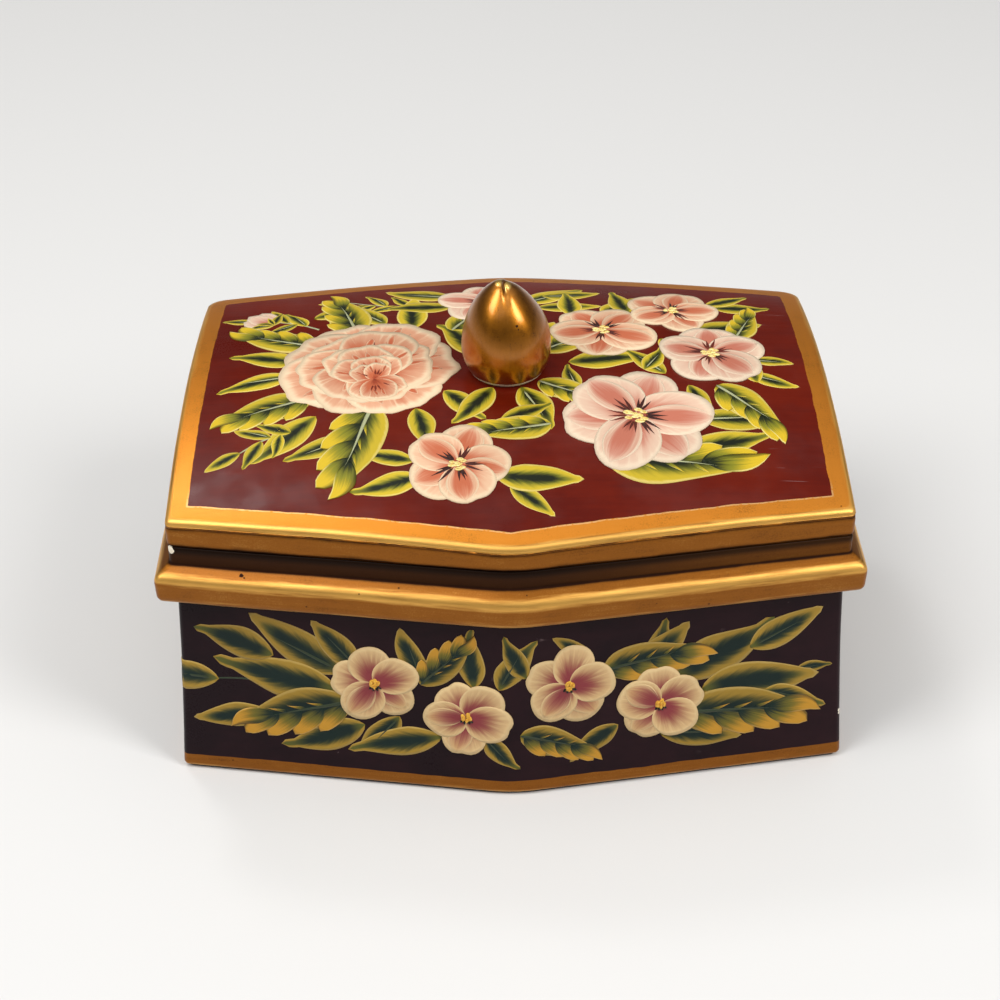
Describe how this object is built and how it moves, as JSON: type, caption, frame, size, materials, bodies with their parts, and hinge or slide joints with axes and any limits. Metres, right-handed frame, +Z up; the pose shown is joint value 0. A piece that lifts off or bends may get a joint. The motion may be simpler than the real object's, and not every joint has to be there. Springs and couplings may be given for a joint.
{
  "type": "trinket box",
  "caption": "Long hexagonal keepsake box of painted cast ceramic with gold mouldings and a crowned lift-off lid with an egg-shaped knob.",
  "frame": {"origin": "on the surface the box stands on, under the middle of its plan", "axes": "+Z up, +X along the long side, the front faces -Y"},
  "size_m": [0.195, 0.152, 0.1265],
  "materials": {
    "painted_body": "satin dark aubergine paint with antiqued gold mouldings",
    "painted_lid": "satin oxblood paint with an antiqued gold border",
    "gold_knob": "satin antiqued gold paint",
    "felt": "dark felt"
  },
  "bodies": {
    "body": {"box_body": "painted_body", "base_felt": "felt"},
    "lid": {"lid": "painted_lid", "knob": "gold_knob"}
  },
  "joints": [
    {"name": "lid_lift", "type": "slide", "parent": "body", "child": "lid", "axis": [0, 0, 1], "range_m": [0, 0.12]}
  ]
}
